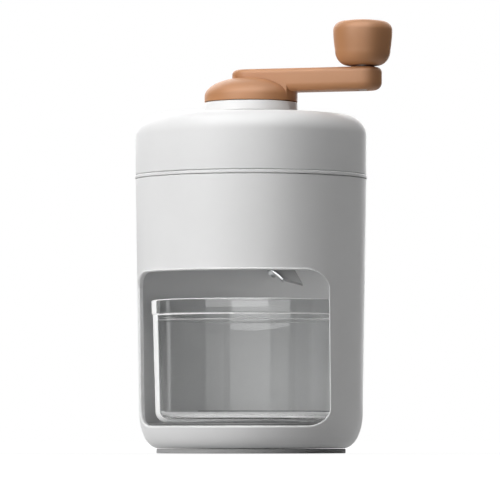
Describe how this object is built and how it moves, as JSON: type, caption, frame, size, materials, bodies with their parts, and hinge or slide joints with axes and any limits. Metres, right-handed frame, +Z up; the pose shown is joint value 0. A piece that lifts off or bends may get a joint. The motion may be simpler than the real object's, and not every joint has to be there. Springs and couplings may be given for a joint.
{
  "type": "ice shaver with crank",
  "caption": "Round table-top ice shaver: a crank on the lid turns a sprung toothed pusher over a fixed slanted blade, and shavings fall into a pull-out cup.",
  "frame": {"origin": "centre of the foot's underside, on the upright axis of the round housing", "axes": "+Z up along the crank's axis, -Y out through the cup window, +X along the crank arm at rest"},
  "size_m": [0.1559, 0.138, 0.256],
  "materials": {
    "body_white": "fine satin moulding, white",
    "crank_brown": "soft matte moulding, light wood brown",
    "foot_grey": "matte grey elastomer",
    "cup_clear": "clear, polished",
    "bearing_plastic": "plain off-white",
    "steel": "stainless, brushed"
  },
  "bodies": {
    "housing": {"foot_pad": "foot_grey", "base_plate": "body_white", "base_screw_1": "steel", "base_screw_2": "steel", "base_screw_3": "steel", "base_screw_4": "steel", "body_shell": "body_white", "cup_tray": "body_white", "ice_chamber": "body_white", "chamber_floor": "body_white", "blade": "steel", "blade_holder": "body_white", "blade_screw_1": "steel", "blade_screw_2": "steel", "holder_screw_1": "steel", "holder_screw_2": "steel"},
    "cup": {"cup": "cup_clear"},
    "lid": {"lid_shell": "body_white", "lid_liner": "body_white", "liner_screw_1": "steel", "liner_screw_2": "steel", "liner_screw_3": "steel", "neck_collar": "body_white", "collar_screw_1": "steel", "collar_screw_2": "steel", "collar_screw_3": "steel", "shaft_bush": "bearing_plastic", "thrust_washer": "bearing_plastic"},
    "crank": {"crank_hub": "crank_brown", "crank_arm": "crank_brown", "crank_screw_1": "steel", "crank_screw_2": "steel", "crank_screw_3": "steel", "drive_shaft": "steel", "shaft_clip": "steel", "spring_seat": "bearing_plastic", "feed_spring": "steel", "end_washer": "steel", "end_screw": "steel", "knob_washer": "bearing_plastic", "knob_axle": "steel", "axle_screw": "steel"},
    "pusher": {"pusher_plate": "body_white"},
    "knob": {"knob": "crank_brown"}
  },
  "joints": [
    {"name": "cup_pull", "type": "slide", "parent": "housing", "child": "cup", "axis": [0, -1, 0], "range_m": [0, 0.14]},
    {"name": "lid_lift", "type": "slide", "parent": "housing", "child": "lid", "axis": [0, 0, 1], "range_m": [0, 0.1]},
    {"name": "crank_turn", "type": "hinge", "parent": "lid", "child": "crank", "pos_m": [0, 0, 0.2086], "axis": [0, 0, 1], "continuous": true},
    {"name": "pusher_feed", "type": "slide", "parent": "crank", "child": "pusher", "axis": [0, 0, 1], "range_m": [0, 0.04], "stiffness_N_per_m": 120, "springref_m": -0.03, "deforming": ["feed_spring"]},
    {"name": "knob_spin", "type": "hinge", "parent": "crank", "child": "knob", "pos_m": [0.0691, 0, 0.2289], "axis": [0, 0, 1], "continuous": true}
  ]
}
